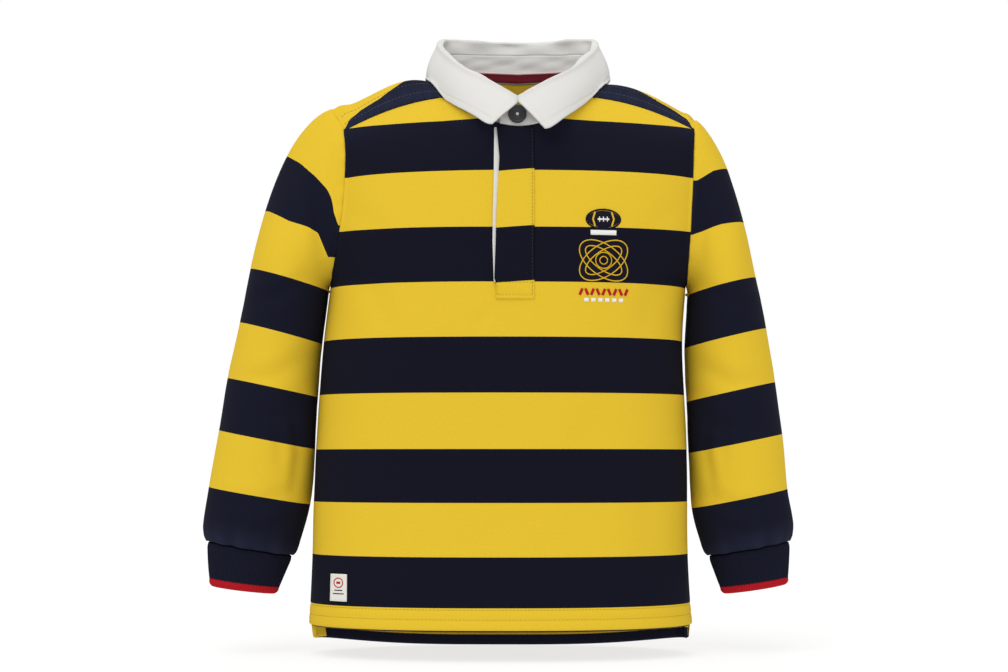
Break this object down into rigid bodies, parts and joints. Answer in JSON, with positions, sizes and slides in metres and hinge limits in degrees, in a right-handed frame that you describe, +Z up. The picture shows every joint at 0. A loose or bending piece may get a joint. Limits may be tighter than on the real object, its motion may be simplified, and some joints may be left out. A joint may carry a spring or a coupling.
{
  "type": "child's striped rugby shirt",
  "caption": "Child's long-sleeved rugby shirt with wide stripes, twill collar, short buttoned placket and ribbed cuffs, filled out and open at neck, hem and cuffs.",
  "frame": {"origin": "middle of the neck on the shoulder line, where the wearer's neck and shoulders hold the shirt", "axes": "+X to the viewer's right in front view, +Y from the front to the back, +Z up"},
  "size_m": [0.471, 0.1638, 0.499],
  "materials": {
    "jersey": "matt knit, yellow and navy stripes",
    "rib": "matt, red tipped edge",
    "twill": "matt, soft",
    "tape": "matt",
    "label": "satin",
    "button": "semi-gloss"
  },
  "bodies": {
    "root": {"front": "jersey", "back": "jersey", "sleeve_left": "jersey", "sleeve_right": "jersey", "cuff_left": "rib", "cuff_right": "rib", "collar_fall": "twill", "collar_stand": "twill", "placket_overlap": "jersey", "placket_under": "twill", "neck_tape": "tape", "vent_left": "jersey", "vent_right": "jersey", "hem_label": "label", "button": "button"}
  },
  "joints": []
}
